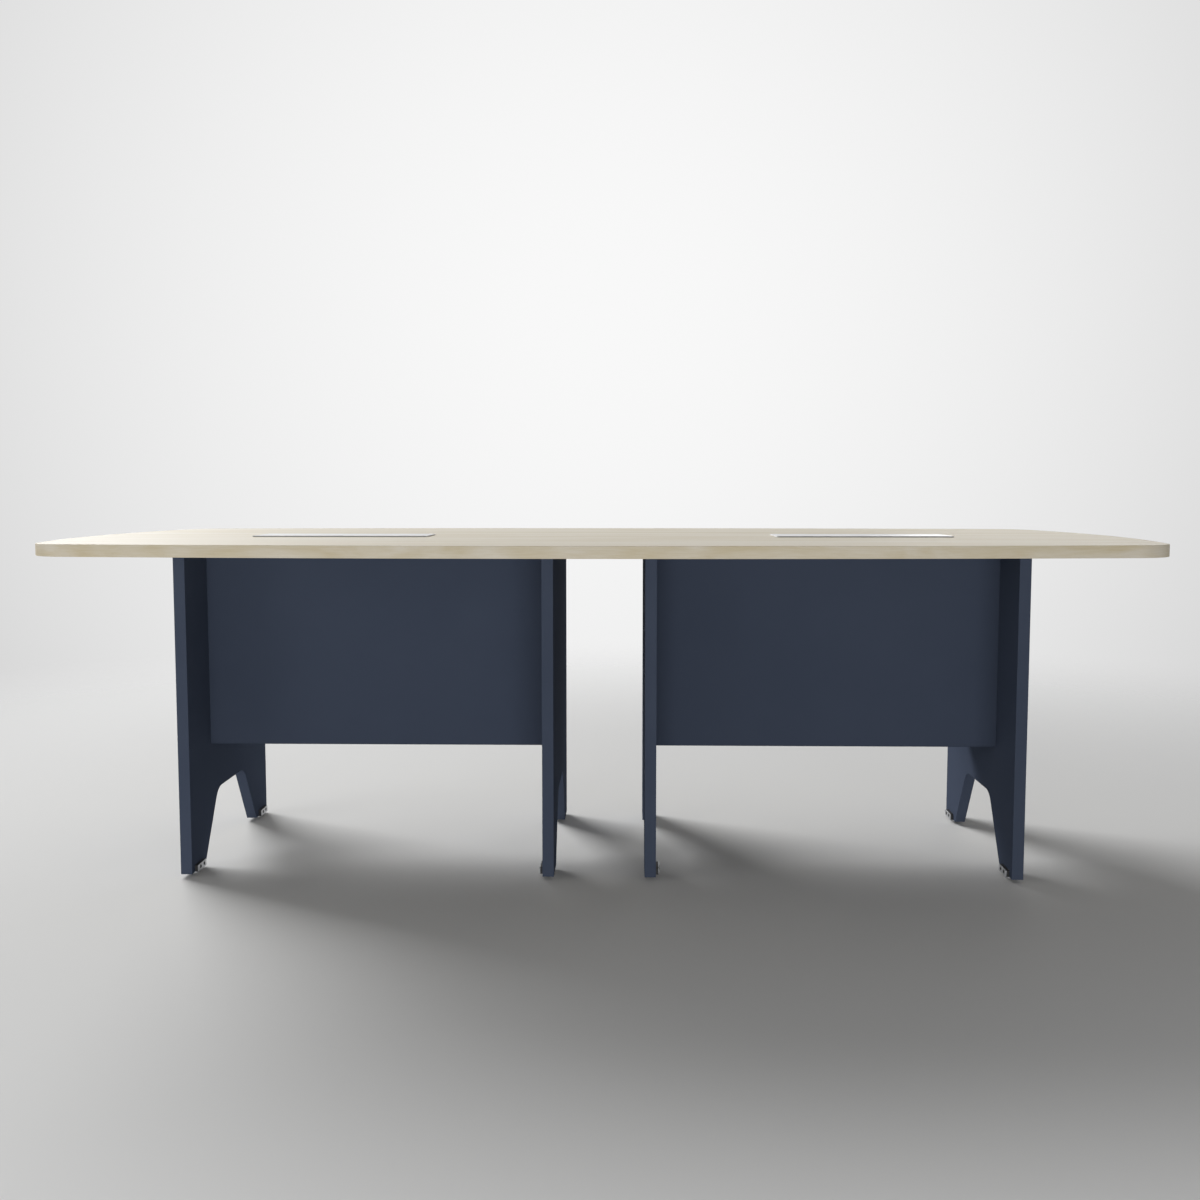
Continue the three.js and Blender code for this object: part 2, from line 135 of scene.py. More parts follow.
def remap(tree, value, low, high, to_low=0.0, to_high=1.0):
    inputs = {"Value": value, "From Min": low, "From Max": high, "To Min": to_low, "To Max": to_high}
    return add(tree, "ShaderNodeMapRange", inputs).outputs[0]


def noise(tree, vector, scale, detail, distortion=0.0):
    inputs = {"Vector": vector, "Scale": scale, "Detail": detail, "Distortion": distortion}
    return add(tree, "ShaderNodeTexNoise", inputs).outputs[0]


print("short calls for math, vectors, colours, ranges and noise")

# %% [markdown]
# ## Wood figure
# Maple shows the same figure on the broad top and on its edging: wide pale and dark bands, fine
# fibres and short flecks, all drawn out along the grain. A Wave texture would give bands that are
# too regular, so each kind of mark is a noise that is stretched along the grain. The three are one
# node group, so that both finishes can place it with their own sizes.

# %% Node group for wood figure
# Length and width are shares of a band's, and a mark fades in over its range of the noise
WOOD_MARKS = {
    "Band": {"length": 1.0, "width": 1.0, "detail": 3.0, "distortion": 0.9, "range": (0.36, 0.66)},
    "Fibre": {"length": 0.22, "width": 0.045, "detail": 4.0, "distortion": 0.0, "range": (0.3, 0.7)},
    "Fleck": {"length": 0.035, "width": 0.012, "detail": 1.0, "distortion": 0.0, "range": (0.64, 0.74)},
}


def new_group(name, inputs, outputs):
    group = bpy.data.node_groups.new(name, "ShaderNodeTree")
    for label, kind in inputs.items():
        group.interface.new_socket(label, in_out="INPUT", socket_type=kind)
    for label in outputs:
        group.interface.new_socket(label, in_out="OUTPUT", socket_type="NodeSocketFloat")
    return group, group.nodes.new("NodeGroupInput").outputs, group.nodes.new("NodeGroupOutput").inputs


def wood_figure_group():
    sizes = {"Vector": "NodeSocketVector", "Length": "NodeSocketFloat", "Width": "NodeSocketFloat"}
    group, given, result = new_group("wood_figure", sizes, WOOD_MARKS)
    for mark, look in WOOD_MARKS.items():
        length = math_node(group, "MULTIPLY", given["Length"], look["length"])
        width = math_node(group, "MULTIPLY", given["Width"], look["width"])
        inputs = {0: given["Vector"], 1: combine(group, length, width, width)}
        drawn_out = add(group, "ShaderNodeVectorMath", inputs, operation="DIVIDE").outputs[0]
        grey = noise(group, drawn_out, 1.0, look["detail"], look["distortion"])
        group.links.new(remap(group, grey, *look["range"]), result[mark])
    return group


WOOD_FIGURE = wood_figure_group()
print("node group", WOOD_FIGURE.name, "with", ", ".join(WOOD_MARKS))

# %% [markdown]
# ## Fine grain
# Every pressed, coated or moulded surface here has a fine grain that breaks up its shine, and a soft
# unevenness of colour. Both come from noise at two sizes, in a second group that all finishes share.

# %% Node group for fine grain
GRAIN_DETAIL = 1.0
MOTTLE_DETAIL = 4.0
MOTTLE_RANGE = (0.3, 0.7)


def fine_grain_group():
    sizes = {"Vector": "NodeSocketVector", "Grain": "NodeSocketFloat", "Patch": "NodeSocketFloat"}
    group, given, result = new_group("fine_grain", sizes, ["Height", "Mottle"])
    grain_scale = math_node(group, "DIVIDE", 1.0, given["Grain"])
    patch_scale = math_node(group, "DIVIDE", 1.0, given["Patch"])
    height = noise(group, given["Vector"], grain_scale, GRAIN_DETAIL)
    mottle = noise(group, given["Vector"], patch_scale, MOTTLE_DETAIL)
    group.links.new(height, result["Height"])
    group.links.new(remap(group, mottle, *MOTTLE_RANGE), result["Mottle"])
    return group


FINE_GRAIN = fine_grain_group()
print("node group", FINE_GRAIN.name)

# %% [markdown]
# ## Finishes
# Each finish is one Principled shader whose colour, roughness and bump come from the groups. Values
# that don't change over a surface are set on the shader itself, because an export can carry them
# only from there.


# %% A finish and its shader
def new_finish(name, **plain):
    finish = bpy.data.materials.new(name)
    finish.use_nodes = True
    shader = finish.node_tree.nodes["Principled BSDF"]
    for label, value in plain.items():
        shader.inputs[label.replace("_", " ")].default_value = value
    return finish, finish.node_tree, shader


def place_group(tree, group, vector, **sizes):
    return add(tree, "ShaderNodeGroup", {"Vector": vector, **sizes}, node_tree=group)


def bump(tree, shader, height, depth):
    inputs = {"Height": height, "Distance": depth, "Strength": 1.0}
    tree.links.new(add(tree, "ShaderNodeBump", inputs).outputs[0], shader.inputs["Normal"])


def object_place(tree):
    return add(tree, "ShaderNodeTexCoord").outputs["Object"]


print("short calls for a finish, a group in it, its bump and its place")

# %% [markdown]
# ## Maple
# The top is a board faced with pale maple, its grain along the table. The edging is a thin strip with
# the same wood on it, a little warmer and more mottled, and its grain runs along the strip, round
# the corners too. The board can read Object coordinates, but the strip reads its own length from a
# UV map.

# %% Maple top and maple edging
MAPLE_PALE = (0.805, 0.755, 0.655, 1)
MAPLE_WARM = (0.715, 0.645, 0.505, 1)
MAPLE_FLECK = (0.520, 0.440, 0.310, 1)
EDGING_PALE = (0.715, 0.663, 0.565, 1)
EDGING_WARM = (0.590, 0.505, 0.335, 1)
MAPLE_SPECULAR = 0.12
MAPLE_ROUGHNESS = (0.5, 0.6)
FIBRE_SHARE = 0.35  # of the blend between pale and warm, and the rest is bands
BAND_SHARE = 0.65
PORE_SIZE = 0.0011
PORE_DEPTH = 0.00002
EDGING_UV = "along_edging"


def maple_finish(name, pale, warm, place_of, band_length, band_width, fleck_share):
    finish, tree, shader = new_finish(name, Specular_IOR_Level=MAPLE_SPECULAR)
    place = place_of(tree)
    figure = place_group(tree, WOOD_FIGURE, place, Length=band_length, Width=band_width).outputs
    pores = place_group(tree, FINE_GRAIN, place, Grain=PORE_SIZE)
    fibres = math_node(tree, "MULTIPLY", figure["Fibre"], FIBRE_SHARE)
    bands = math_node(tree, "MULTIPLY", figure["Band"], BAND_SHARE)
    wood = blend_colours(tree, math_node(tree, "ADD", fibres, bands), pale, warm)
    flecks = math_node(tree, "MULTIPLY", figure["Fleck"], fleck_share)
    tree.links.new(blend_colours(tree, flecks, wood, MAPLE_FLECK), shader.inputs["Base Color"])
    roughness = remap(tree, figure["Fibre"], 0.0, 1.0, *MAPLE_ROUGHNESS)
    tree.links.new(roughness, shader.inputs["Roughness"])
    bump(tree, shader, pores.outputs["Height"], PORE_DEPTH)
    return finish


def strip_place(tree):
    return add(tree, "ShaderNodeUVMap", uv_map=EDGING_UV).outputs[0]


maple_board = maple_finish(
    "maple_board", MAPLE_PALE, MAPLE_WARM, object_place,
    band_length=1.1, band_width=0.16, fleck_share=0.25)
maple_edging = maple_finish(
    "maple_edging", EDGING_PALE, EDGING_WARM, strip_place,
    band_length=0.18, band_width=0.06, fleck_share=0.35)
print("maple finishes,", len(maple_board.node_tree.nodes), "nodes each")

# %% [markdown]
# ## Navy, white, zinc and black
# The bases are navy melamine, matt with a pearl-like grain. The flaps are powder coated, so they
# have a faint orange peel. Zinc plate is slightly cloudy, and the moulded housings have a fine matt
# texture. One function makes them all, because they differ only in colours and in the size and
# depth of their grain.

# %% The other finishes
NAVY = (0.0570, 0.0710, 0.1060, 1)
NAVY_DEEP = (0.0530, 0.0665, 0.1000, 1)
NAVY_STRIP = (0.0600, 0.0750, 0.1110, 1)
WHITE_COAT = (0.840, 0.845, 0.860, 1)
WHITE_COAT_DULL = (0.795, 0.802, 0.820, 1)
ZINC = (0.560, 0.570, 0.580, 1)
ZINC_CLOUD = (0.430, 0.440, 0.460, 1)
BLACK_MOULDED = (0.0140, 0.0145, 0.0160, 1)
BLACK_WORN = (0.0210, 0.0215, 0.0230, 1)


def grained_finish(name, colour, mottled, roughness, grain, grain_depth, patch, **plain):
    finish, tree, shader = new_finish(name, **plain)
    texture = place_group(tree, FINE_GRAIN, object_place(tree), Grain=grain, Patch=patch)
    mottle = texture.outputs["Mottle"]
    tree.links.new(blend_colours(tree, mottle, colour, mottled), shader.inputs["Base Color"])
    tree.links.new(remap(tree, mottle, 0.0, 1.0, *roughness), shader.inputs["Roughness"])
    bump(tree, shader, texture.outputs["Height"], grain_depth)
    return finish


navy_board = grained_finish(
    "navy_board", NAVY, NAVY_DEEP, roughness=(0.82, 0.9),
    grain=0.0014, grain_depth=0.00005, patch=0.25, Specular_IOR_Level=0.008)
navy_edging = grained_finish(
    "navy_edging", NAVY_STRIP, NAVY, roughness=(0.76, 0.84),
    grain=0.002, grain_depth=0.00003, patch=0.12, Specular_IOR_Level=0.02)
white_metal = grained_finish(
    "white_metal", WHITE_COAT, WHITE_COAT_DULL, roughness=(0.3, 0.38),
    grain=0.0022, grain_depth=0.00006, patch=0.06)
zinc_steel = grained_finish(
    "zinc_steel", ZINC, ZINC_CLOUD, roughness=(0.3, 0.45),
    grain=0.0009, grain_depth=0.00002, patch=0.006, Metallic=1.0)
black_plastic = grained_finish(
    "black_plastic", BLACK_MOULDED, BLACK_WORN, roughness=(0.5, 0.62),
    grain=0.0006, grain_depth=0.00004, patch=0.02)
print("grained finishes,", len(navy_board.node_tree.nodes), "nodes each")

# %% [markdown]
# ## A finish for every piece
# The construction model says which material slot each of its pieces has, so the finishes are handed
# out by the slots' names and no piece is forgotten.

# %% Hand out the finishes
finishes = {
    "maple_board": maple_board,
    "maple_edging": maple_edging,
    "navy_board": navy_board,
    "navy_edging": navy_edging,
    "white_metal": white_metal,
    "zinc_steel": zinc_steel,
    "black_plastic": black_plastic,
}
for name, node in nodes.items():
    node.data.materials.clear()
    node.data.materials.append(finishes[slot_of_node[name]])
print("finishes", ", ".join(finishes), "on", len(nodes), "construction pieces")

# %% [markdown]
# ## New pieces
# Every piece that this lesson adds needs the same few things: an object in the scene, smooth shading
# up to its sharp edges and a body that it rides on. A piece that stands for a construction piece
# also names it, and that one is hidden.

# %% Make and keep a piece
SHARP = math.radians(30)


def new_piece(name, mesh, finish):
    mesh.materials.clear()
    mesh.materials.append(finish)
    piece = bpy.data.objects.new(name, mesh)
    bpy.context.scene.collection.objects.link(piece)
    return piece


def smooth_over(mesh):
    mesh.polygons.foreach_set("use_smooth", [True] * len(mesh.polygons))
    mesh.set_sharp_from_angle(angle=SHARP)


def keep(piece, body, slot, *replaced):
    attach(piece, body)
    if replaced:
        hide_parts(*replaced)


def finished_mesh(work, name):
    """The plain mesh of a bmesh, which is freed."""
    mesh = bpy.data.meshes.new(name)
    work.to_mesh(mesh)
    work.free()
    return mesh


print("edges count as sharp from", round(math.degrees(SHARP)), "degrees")

# %% [markdown]
# ## Rounded arrises
# No real edge is perfectly sharp: sawn board, bent sheet and moulded plastic all catch a thin line of
# light. A bevel in the shader would show that in a render only, so the mesh itself is rounded. A
# copy of each construction piece has its triangles merged into whole faces, a Bevel rounds what is
# sharp, and a Weighted Normal keeps the broad faces flat beside the rounding.

# %% Rounded copies of the construction pieces
DOUBLES = 1e-6  # points nearer than this are one
FLAT = math.radians(0.5)  # triangles within this angle are one face
ARRIS_SEGMENTS = 3
ARRIS = {
    "_panel": 0.0002,
    "_panel_edge_band": 0.0003,
    "_modesty_panel": 0.0002,
    "_modesty_edge_band": 0.0003,
    "_leveller_housing": 0.0004,
    "_leveller_plate": 0.0003,
    "_top_bracket": 0.0004,
    "_flap_frame": 0.0004,
    "_flap_lid": 0.0004,
}


def rounded_copy(name, arris):
    work = bmesh.new()
    work.from_mesh(nodes[name].data)
    bmesh.ops.remove_doubles(work, verts=work.verts, dist=DOUBLES)
    bmesh.ops.dissolve_limit(work, angle_limit=FLAT, verts=work.verts, edges=work.edges)
    mesh = finished_mesh(work, f"{name}_rounded")
    piece = new_piece(f"{name}_rounded", mesh, finishes[slot_of_node[name]])
    smooth_over(mesh)
    rounding = piece.modifiers.new("arris", "BEVEL")
    rounding.width = arris
    rounding.segments = ARRIS_SEGMENTS
    rounding.limit_method = "ANGLE"
    rounding.angle_limit = SHARP
    piece.modifiers.new("flat_faces", "WEIGHTED_NORMAL").keep_sharp = True
    keep(piece, body_of_node[name], slot_of_node[name], name)


arris_of_node = {}
for name in sorted(nodes):
    ending = max((e for e in ARRIS if name.endswith(e)), key=len, default=None)
    if ending:
        arris_of_node[name] = ARRIS[ending]
for name, arris in arris_of_node.items():
    rounded_copy(name, arris)
print("rounded copies of", len(arris_of_node), "construction pieces")

# %% [markdown]
# ## Outline of the top
# All four sides of the top are shallow arcs, and a smaller arc rounds each corner where two of them
# meet. A bevelled copy of the construction piece would keep its short straight steps, so the
# outline is worked out again from the same few sizes, as arcs that run into each other smoothly.

# %% The bowed outline
SIDE_BOW = 0.065
END_BOW = 0.065
CORNER_RADIUS = 0.100
ARC_POINTS = {"side": 120, "end": 60, "corner": 28}

band_low, band_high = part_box("tabletop_edge_band")
HALF_LENGTH, HALF_WIDTH = band_high.x, band_high.y


def bow_radius(half_chord, bow):
    return (half_chord**2 + bow**2) / (2 * bow)


def bowed_arcs():
    """Kind, centre, radius and angles of each arc, anticlockwise from the front of the right end."""
    side_radius = bow_radius(HALF_LENGTH - END_BOW, SIDE_BOW)
    end_radius = bow_radius(HALF_WIDTH - SIDE_BOW, END_BOW)
    side_centre = Vector((0, HALF_WIDTH - side_radius))
    end_centre = Vector((HALF_LENGTH - end_radius, 0))

    # The corner's centre lies a corner radius inside both arcs, where two circles cross.
    span = end_centre - side_centre
    to_side, to_end = side_radius - CORNER_RADIUS, end_radius - CORNER_RADIUS
    along = (to_side**2 - to_end**2 + span.length_squared) / (2 * span.length)
    across = math.sqrt(to_side**2 - along**2)
    unit = span.normalized()
    corner = side_centre + unit * along + Vector((unit.y, -unit.x)) * across
    far_corner = Vector((-corner.x, corner.y))
    end_angle = math.atan2(*reversed(corner - end_centre))
    side_angle = math.atan2(*reversed(corner - side_centre))

    arcs = []
    for turn, mirror in ((0, 1), (math.pi, -1)):
        half_turn = turn + math.pi
        arcs += [
            ("end", end_centre * mirror, end_radius, turn - end_angle, turn + end_angle),
            ("corner", corner * mirror, CORNER_RADIUS, turn + end_angle, turn + side_angle),
            ("side", side_centre * mirror, side_radius, turn + side_angle, half_turn - side_angle),
            ("corner", far_corner * mirror, CORNER_RADIUS,
             half_turn - side_angle, half_turn - end_angle),
        ]
    return arcs


def bowed_outline(inset):
    points = []
    for kind, centre, radius, start, stop in bowed_arcs():
        for i in range(ARC_POINTS[kind]):
            angle = start + (stop - start) * i / ARC_POINTS[kind]
            points.append(centre + Vector((math.cos(angle), math.sin(angle))) * (radius - inset))
    return points


print("outline of", len(bowed_arcs()), "arcs,", len(bowed_outline(0)), "points")

# %% [markdown]
# ## Edging round the top
# The edging is a strip two millimetres thick, pressed round the board, with its outer edges rounded
# over. Sweeping a small section round the outline gives smooth corners and, at each point, the
# length along the strip, which the grain of its finish follows.

# %% Sweep the strip's section round the outline
STRIP = 0.002
STRIP_ARRIS = 0.0011
ARRIS_STEPS = 4


def strip_section():
    """Points (inset, height) round the strip, from its hidden lower corner by the outside."""
    low, high = band_low.z, band_high.z
    quarter = [math.pi / 2 * i / ARRIS_STEPS for i in range(ARRIS_STEPS + 1)]
    curve = [(STRIP_ARRIS * (1 - math.sin(a)), STRIP_ARRIS * (1 - math.cos(a))) for a in quarter]
    lower = [(inset, low + rise) for inset, rise in curve]
    upper = [(inset, high - drop) for drop, inset in curve]
    return [(STRIP, low), *lower, *upper, (STRIP, high)]


def lengths_round(points):
    """How far along a closed line each of its points lies, and last the whole length."""
    lengths = [0.0]
    for here, there in zip(points, points[1:] + points[:1]):
        lengths.append(lengths[-1] + math.dist(here, there))
    return lengths


def edging_mesh():
    section = strip_section()
    along, girth = lengths_round(bowed_outline(0)), lengths_round(section)
    work = bmesh.new()
    uv = work.loops.layers.uv.new(EDGING_UV)
    rings = []
    for inset, height in section:
        rings.append([work.verts.new((p.x, p.y, height)) for p in bowed_outline(inset)])
    count = len(rings[0])
    for row, (ring, next_ring) in enumerate(zip(rings, rings[1:] + rings[:1])):
        for i in range(count):
            j = (i + 1) % count
            face = work.faces.new((ring[i], ring[j], next_ring[j], next_ring[i]))
            corners = ((i, row), (i + 1, row), (i + 1, row + 1), (i, row + 1))
            for loop, (at, level) in zip(face.loops, corners):
                loop[uv].uv = (along[at], girth[level])
    bmesh.ops.recalc_face_normals(work, faces=work.faces)
    mesh = finished_mesh(work, "tabletop_edging")
    smooth_over(mesh)
    print("edging", round(along[-1], 3), "m long,", len(mesh.polygons), "faces")
    return mesh


edging = new_piece("tabletop_edging", edging_mesh(), maple_edging)
keep(edging, "table", "maple_edging", "tabletop_edge_band")

# %% [markdown]
# ## Geometry trees
# Threads, screws and caps repeat one small shape many times, which is what Geometry Nodes are for.
# Each tree takes its sizes by name and ends in a plain mesh with its finish. The result is then
# copied out of the modifier, so that nothing is left to be worked out later.


# %% Geometry trees and their results
def geometry_tree(name, sizes, places=()):
    """A tree with Geometry in and out, the named sizes and places, and a finish."""
    tree = bpy.data.node_groups.new(name, "GeometryNodeTree")
    sockets = {"Geometry": "NodeSocketGeometry"}
    sockets.update((label, "NodeSocketFloat") for label in sizes)
    sockets.update((label, "NodeSocketVector") for label in places)
    sockets["Finish"] = "NodeSocketMaterial"
    for label, kind in sockets.items():
        tree.interface.new_socket(label, in_out="INPUT", socket_type=kind)
    tree.interface.new_socket("Geometry", in_out="OUTPUT", socket_type="NodeSocketGeometry")
    return tree, tree.nodes.new("NodeGroupInput").outputs, tree.nodes.new("NodeGroupOutput").inputs


def moved(tree, geometry, way):
    inputs = {"Geometry": geometry, "Translation": way}
    return add(tree, "GeometryNodeTransform", inputs).outputs[0]


def end_tree(tree, geometry, finish, result):
    realized = add(tree, "GeometryNodeRealizeInstances", {0: geometry}).outputs[0]
    coated = add(tree, "GeometryNodeSetMaterial", {"Geometry": realized, "Material": finish})
    tree.links.new(coated.outputs[0], result["Geometry"])


def grown(name, seed_mesh, tree, values):
    """A plain mesh piece from a seed mesh, a tree and its input values."""
    piece = bpy.data.objects.new(name, seed_mesh)
    bpy.context.scene.collection.objects.link(piece)
    modifier = piece.modifiers.new("grow", "NODES")
    modifier.node_group = tree
    for socket in tree.interface.items_tree:
        if socket.in_out == "INPUT" and socket.name in values:
            modifier[socket.identifier] = values[socket.name]
    depsgraph = bpy.context.evaluated_depsgraph_get()
    mesh = bpy.data.meshes.new_from_object(piece.evaluated_get(depsgraph))
    piece.modifiers.clear()
    piece.data = mesh
    smooth_over(mesh)
    print(name, len(mesh.polygons), "faces")
    return piece


print("short calls for trees, and for pieces that grow from them")

# %% [markdown]
# ## Screw thread
# The studs of the levelling feet have a rolled thread. It could be a bump in the shader, but then a
# screwed-out foot would show a straight outline, so a spiral curve carries a small four-sided
# section, half sunk in the stud.

# %% A tree that winds a thread on a stud
THREAD_POINTS = 24  # in each turn
THREAD_SIDES = 4


def thread_tree():
    sizes = ("Core", "Crest", "Pitch", "Bottom", "Top")
    tree, given, result = geometry_tree("screw_thread", sizes, places=("Place",))
    height = math_node(tree, "SUBTRACT", given["Top"], given["Bottom"])
    spiral = add(tree, "GeometryNodeCurveSpiral", {
        "Resolution": THREAD_POINTS,
        "Rotations": math_node(tree, "DIVIDE", height, given["Pitch"]),
        "Start Radius": given["Core"],
        "End Radius": given["Core"],
        "Height": height,
    })
    depth = math_node(tree, "SUBTRACT", given["Crest"], given["Core"])
    section = add(tree, "GeometryNodeCurvePrimitiveCircle",
                  {"Resolution": THREAD_SIDES, "Radius": depth}, mode="RADIUS")
    ridge = add(tree, "GeometryNodeCurveToMesh", {
        "Curve": spiral.outputs[0], "Profile Curve": section.outputs[0], "Fill Caps": True})
    raised = moved(tree, ridge.outputs[0], combine(tree, z=given["Bottom"]))
    joined = add(tree, "GeometryNodeJoinGeometry")
    tree.links.new(raised, joined.inputs[0])
    tree.links.new(given["Geometry"], joined.inputs[0])
    placed = moved(tree, joined.outputs[0], given["Place"])
    end_tree(tree, placed, given["Finish"], result)
    return tree


THREAD = thread_tree()
print("tree", THREAD.name, "with", len(THREAD.nodes), "nodes")

# %% [markdown]
# ## Levelling feet
# A foot is a steel pad on a threaded stud. Both are turned on a lathe, so a profile is spun round the
# stud's axis, and the tree above winds the thread on it.

# %% Turned feet with their threads
TURNING_STEPS = 40
STUD_CORE = 0.0034
STUD_CREST = 0.0039
STUD_TIP = 0.0006
THREAD_PITCH = 0.00125
THREAD_START = 0.0085  # above the floor
THREAD_RUNOUT = 0.001
PAD_PROFILE = [  # (radius, height) from the floor up to the stud
    (0, 0), (0.0094, 0), (0.0104, 0.0003), (0.0110, 0.0010), (0.0110, 0.0031), (0.0107, 0.0036),
    (0.0070, 0.0071), (0.0064, 0.0075), (0.0052, 0.0076), (STUD_CORE, 0.0076),
]


def turned(name, profile):
    """A mesh turned about Z from points (radius, height), as on a lathe."""
    work = bmesh.new()
    verts = [work.verts.new((radius, 0, height)) for radius, height in profile]
    edges = [work.edges.new(pair) for pair in zip(verts, verts[1:])]
    bmesh.ops.spin(work, geom=verts + edges, cent=(0, 0, 0), axis=(0, 0, 1),
                   angle=2 * math.pi, steps=TURNING_STEPS, use_duplicate=False)
    bmesh.ops.remove_doubles(work, verts=work.verts, dist=DOUBLES)
    bmesh.ops.recalc_face_normals(work, faces=work.faces)
    return finished_mesh(work, name)


def named(ending):
    """The construction pieces whose names end in these words, in order."""
    return sorted(name for name in nodes if name.endswith(ending))


for name in named("_levelling_foot"):
    low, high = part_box(name)
    middle = (low + high) / 2
    top = high.z
    profile = [*PAD_PROFILE, (STUD_CORE, top - STUD_TIP), (STUD_CORE - STUD_TIP, top), (0, top)]
    foot = grown(f"{name}_threaded", turned("foot_core", profile), THREAD, {
        "Core": STUD_CORE, "Crest": STUD_CREST, "Pitch": THREAD_PITCH,
        "Bottom": THREAD_START, "Top": top - THREAD_RUNOUT,
        "Place": (middle.x, middle.y, 0), "Finish": zinc_steel,
    })
    keep(foot, body_of_node[name], "zinc_steel", name)

# %% [markdown]
# ## Hinge pins
# Each flap lid turns on two short steel pins. The construction model's pins have flat sides, so they
# are turned again in the same way as the feet, with a small chamfer at both ends, and then laid
# along the table.

# %% Turned pins
PIN_CHAMFER = 0.0003
MILLIMETRES = 1000  # in a metre
LYING = Matrix.Rotation(math.pi / 2, 4, "Y")  # from upright to along the table

for name in named("_pin"):
    low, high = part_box(name)
    middle = (low + high) / 2
    radius = max(high.y - low.y, high.z - low.z) / 2
    length = high.x - low.x
    tip = radius - PIN_CHAMFER
    mesh = turned(f"{name}_turned", [
        (0, 0), (tip, 0), (radius, PIN_CHAMFER),
        (radius, length - PIN_CHAMFER), (tip, length), (0, length)])
    mesh.transform(Matrix.Translation((low.x, middle.y, middle.z)) @ LYING)
    smooth_over(mesh)
    pin = new_piece(f"{name}_turned", mesh, finishes[slot_of_node[name]])
    keep(pin, body_of_node[name], slot_of_node[name], name)
    print(name, round(2 * radius * MILLIMETRES, 2), "mm thick")

# %% [markdown]
# ## Small heads on points
# Each angle bracket is held by four zinc-plated screws, each levelling fitting by two black ones, and
# the modesty panels by cam fittings under round caps. All of them are the same few shapes many times
# over, so a mesh of loose points says where they go and which way they face, and Geometry Nodes set
# one head on every point.


# %% Points that face a way, and heads on them
def facing_points(name, places):
    """A mesh of loose points, each with the way it faces."""
    mesh = bpy.data.meshes.new(name)
    mesh.from_pydata([place for place, _ in places], [], [])
    facing = mesh.attributes.new("facing", "FLOAT_VECTOR", "POINT")
    for item, (_, way) in zip(facing.data, places):
        item.vector = way
    print(name, len(places))
    return mesh


def set_on_points(tree, points, head):
    facing = add(tree, "GeometryNodeInputNamedAttribute", {"Name": "facing"},
                 data_type="FLOAT_VECTOR").outputs[0]
    rotation = add(tree, "FunctionNodeAlignRotationToVector", {"Vector": facing}, axis="Z")
    inputs = {"Points": points, "Instance": head, "Rotation": rotation.outputs[0]}
    return add(tree, "GeometryNodeInstanceOnPoints", inputs).outputs[0]


print("short calls for points that face a way, and for heads on them")

# %% [markdown]
# ## Screw heads
# A pan head is the upper half of a flattened ball, with a cross recess pressed into its crown. The
# exact solver of the Boolean nodes keeps the small mesh closed, and a merge takes away the doubled
# points that it leaves.

# %% A tree for cross-head screws
HEAD_SEGMENTS, HEAD_RINGS = 24, 12
BLOCK_SIDE = 3.0  # of the block that keeps a ball's upper half, in head radii
CROSS_LENGTH, CROSS_WIDTH = 1.15, 0.26  # of the recess, in head radii
HEAD_DOUBLES = 0.00001


def domed_head(tree, radius, height):
    """What a flattened ball and a block that stands on the seat have in common."""
    ball = add(tree, "GeometryNodeMeshUVSphere",
               {"Segments": HEAD_SEGMENTS, "Rings": HEAD_RINGS, "Radius": 1.0}).outputs[0]
    size = combine(tree, radius, radius, height)
    dome = add(tree, "GeometryNodeTransform", {"Geometry": ball, "Scale": size}).outputs[0]
    side = math_node(tree, "MULTIPLY", radius, BLOCK_SIDE)
    block = add(tree, "GeometryNodeMeshCube", {"Size": combine(tree, side, side, side)}).outputs[0]
    lift = combine(tree, z=math_node(tree, "MULTIPLY", side, 0.5))
    head = add(tree, "GeometryNodeMeshBoolean", operation="INTERSECT", solver="EXACT")
    for part in (dome, moved(tree, block, lift)):
        tree.links.new(part, head.inputs["Mesh 2"])
    return head.outputs[0]


def with_cross(tree, head, radius, height, recess):
    """The head less two thin blades, which are centred on its crown and so sink in by half."""
    cut = add(tree, "GeometryNodeMeshBoolean", {"Mesh 1": head}, operation="DIFFERENCE", solver="EXACT")
    long_side = math_node(tree, "MULTIPLY", radius, CROSS_LENGTH)
    thin_side = math_node(tree, "MULTIPLY", radius, CROSS_WIDTH)
    deep = math_node(tree, "MULTIPLY", recess, 2.0)
    crown = combine(tree, z=height)
    for width, depth in ((long_side, thin_side), (thin_side, long_side)):
        blade = add(tree, "GeometryNodeMeshCube", {"Size": combine(tree, width, depth, deep)})
        tree.links.new(moved(tree, blade.outputs[0], crown), cut.inputs["Mesh 2"])
    return cut.outputs[0]


def screw_tree():
    sizes = ("Radius", "Height", "Recess")
    tree, given, result = geometry_tree("cross_head_screws", sizes)
    radius, height, recess = (given[label] for label in sizes)
    crossed = with_cross(tree, domed_head(tree, radius, height), radius, height, recess)
    inputs = {"Geometry": crossed, "Distance": HEAD_DOUBLES}
    clean = add(tree, "GeometryNodeMergeByDistance", inputs).outputs[0]
    end_tree(tree, set_on_points(tree, given["Geometry"], clean), given["Finish"], result)
    return tree


SCREWS = screw_tree()
print("tree", SCREWS.name, "with", len(SCREWS.nodes), "nodes")

# %% [markdown]
# ## Bracket screws
# Two screws of each bracket go into the slab panel and two into the top. They follow the holes of the
# bracket, so their places are measured from its corner.

# %% Screws of the angle brackets
BRACKET_SHEET = 0.0025
BRACKET_HOLE_REACH = 0.01925  # from the corner of the bracket to its holes
BRACKET_HOLE_SPACING = 0.026
BRACKET_SCREW = {"Radius": 0.0042, "Height": 0.0022, "Recess": 0.0014}


def inward(name):
    """+1 where a base end's inner face looks along +X, otherwise -1."""
    right = name.startswith("right_")
    outer = "_outer_" in name
    return -1 if right == outer else 1


